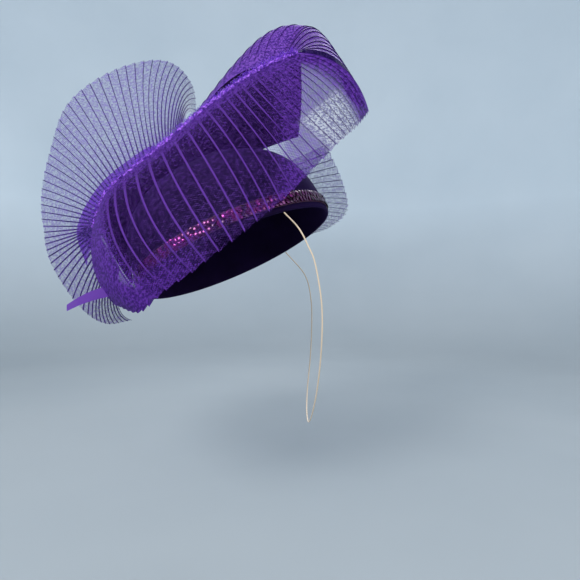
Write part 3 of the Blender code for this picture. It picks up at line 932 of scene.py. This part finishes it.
tip = pleated_sheet(
    "tip_ruffle", tip_seam, TIP_ROWS, pleats=20, lengths=44,
    panel=0.011, fold_free=0.0012, fold_seam=0.0024, step=0.04,
    dense=lambda x, y: (0.36 + 0.30 * math.exp(-25 * y) + 0.25 * ramp(x, 0.20, 0.42)
                        + 0.50 * ramp(y, 0.35, 0.50)))
tip.data.materials.append(tip_net)
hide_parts("crin_tip")

fan = pleated_sheet(
    "fan_ruffle", fan_seam, FAN_ROWS, pleats=62, lengths=40,
    panel=0.008, fold_free=0.0010, fold_seam=0.0024, step=0.01,
    dense=lambda x, y: 0.35 * math.exp(-12 * y))
fan.data.materials.append(net)
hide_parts("crin_fan")

frill = pleated_sheet(
    "frill_ruffle", frill_seam, FRILL_ROWS, pleats=26, lengths=30,
    panel=0.006, fold_free=0.0014, fold_seam=0.0024, step=0.02)
frill.data.materials.append(frill_net_painted_light)
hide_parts("crin_frill")

back = pleated_sheet(
    "back_ruffle", back_seam, BACK_ROWS, pleats=20, lengths=30,
    panel=0.005, fold_free=0.0012, fold_seam=0.0020, step=0.015,
    dense=lambda x, y: 0.3 * math.exp(-14 * y))
back.data.materials.append(net)
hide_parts("crin_back")

# Each flat length is the strip laid out straight, as wide as CRIN_WIDTH.
for piece, slot_name, flat_length in (
        (front, "crinoline", 0.356), (tip, "crinoline", 0.286), (fan, "crinoline_net", 0.317),
        (frill, "crinoline", 0.210), (back, "crinoline_net", 0.132)):
    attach(piece, "root")


# Floor
# A plain pale floor curves up all round into a plain pale wall, well away from the hat.
# Its colour is painted darkest on the floor and lighter up the curve, as painted shade low down.
FLOOR_MIDDLE = (0.03, 0, -0.33)
FLOOR_REACH = 1.1
COVE, COVE_STEPS = 0.7, 8
WALL_RISE = 1.4
bpy.ops.object.select_all(action="DESELECT")
bpy.ops.mesh.primitive_circle_add(vertices=96, radius=FLOOR_REACH, fill_type="NGON",
                                  location=FLOOR_MIDDLE)
floor = bpy.context.object
floor.name = "pale_floor"
bpy.ops.object.mode_set(mode="EDIT")
bpy.ops.mesh.select_mode(type="EDGE")
bpy.ops.mesh.select_all(action="SELECT")
bpy.ops.mesh.region_to_loop()
last_reach, last_up = FLOOR_REACH, 0.0
for k in range(1, COVE_STEPS + 1):
    bend = math.pi / 2 * k / COVE_STEPS
    reach, up = FLOOR_REACH + COVE * math.sin(bend), COVE * (1 - math.cos(bend))
    bpy.ops.mesh.extrude_region_move(TRANSFORM_OT_translate={"value": (0, 0, up - last_up)})
    grow = reach / last_reach
    bpy.ops.transform.resize(value=(grow, grow, 1), center_override=FLOOR_MIDDLE)
    last_reach, last_up = reach, up
bpy.ops.mesh.extrude_region_move(TRANSFORM_OT_translate={"value": (0, 0, WALL_RISE)})
bpy.ops.object.mode_set(mode="OBJECT")
bpy.ops.object.shade_smooth()
pale, nodes, links, shader = new_material("pale_cloth", (0.62, 0.64, 0.65), 0.9)
where = nodes.new("ShaderNodeTexCoord")
soft = nodes.new("ShaderNodeTexNoise")
soft.inputs["Scale"].default_value = 2.4
soft.inputs["Detail"].default_value = 4
shades = nodes.new("ShaderNodeValToRGB")
shades.color_ramp.elements[0].color = (0.60, 0.69, 0.76, 1)
shades.color_ramp.elements[1].color = (0.74, 0.82, 0.88, 1)
split = nodes.new("ShaderNodeSeparateXYZ")
shaded = nodes.new("ShaderNodeMix")
shaded.data_type = "RGBA"
shaded.inputs["A"].default_value = (0, 0, 0, 1)
links.new(where.outputs["Object"], soft.inputs["Vector"])
links.new(where.outputs["Object"], split.inputs[0])
links.new(soft.outputs["Fac"], shades.inputs["Fac"])
# Painted shade: the colour is darkened on the floor and brightens up the curve.
links.new(map_range(nodes, links, split.outputs["Z"], 0.0, 0.6, 0.45), shaded.inputs["Factor"])
links.new(shades.outputs["Color"], shaded.inputs["B"])
links.new(shaded.outputs["Result"], shader.inputs["Base Color"])
floor.data.materials.append(pale)


# Light
# A strong soft lamp stands high on the left, in front. A weaker and wider one fills from
# the right, and one behind shines through the net.
def soft_lamp(name, place, aim, size, power, colour):
    turn = (Vector(aim) - Vector(place)).to_track_quat("-Z", "Y").to_euler()
    bpy.ops.object.light_add(type="AREA", location=place, rotation=turn)
    lamp = bpy.context.object
    lamp.name = name
    lamp.data.shape = "DISK"
    lamp.data.size = size
    lamp.data.energy = power
    lamp.data.color = colour


soft_lamp("key_lamp", (-0.55, -0.95, 0.85), (0.0, 0.0, 0.0), 0.55, 17, (1.0, 0.98, 0.95))
soft_lamp("fill_lamp", (1.1, -0.6, 0.5), (0.0, 0.0, 0.0), 0.9, 6, (0.92, 0.95, 1.0))
soft_lamp("back_lamp", (0.2, 1.0, 0.9), (0.0, 0.0, 0.05), 0.8, 9, (0.95, 0.97, 1.0))
world = bpy.data.worlds.new("soft_room")
world.use_nodes = True
sky = world.node_tree.nodes["Background"]
sky.inputs["Color"].default_value = (0.88, 0.93, 1.0, 1)
sky.inputs["Strength"].default_value = 0.68
scene.world = world
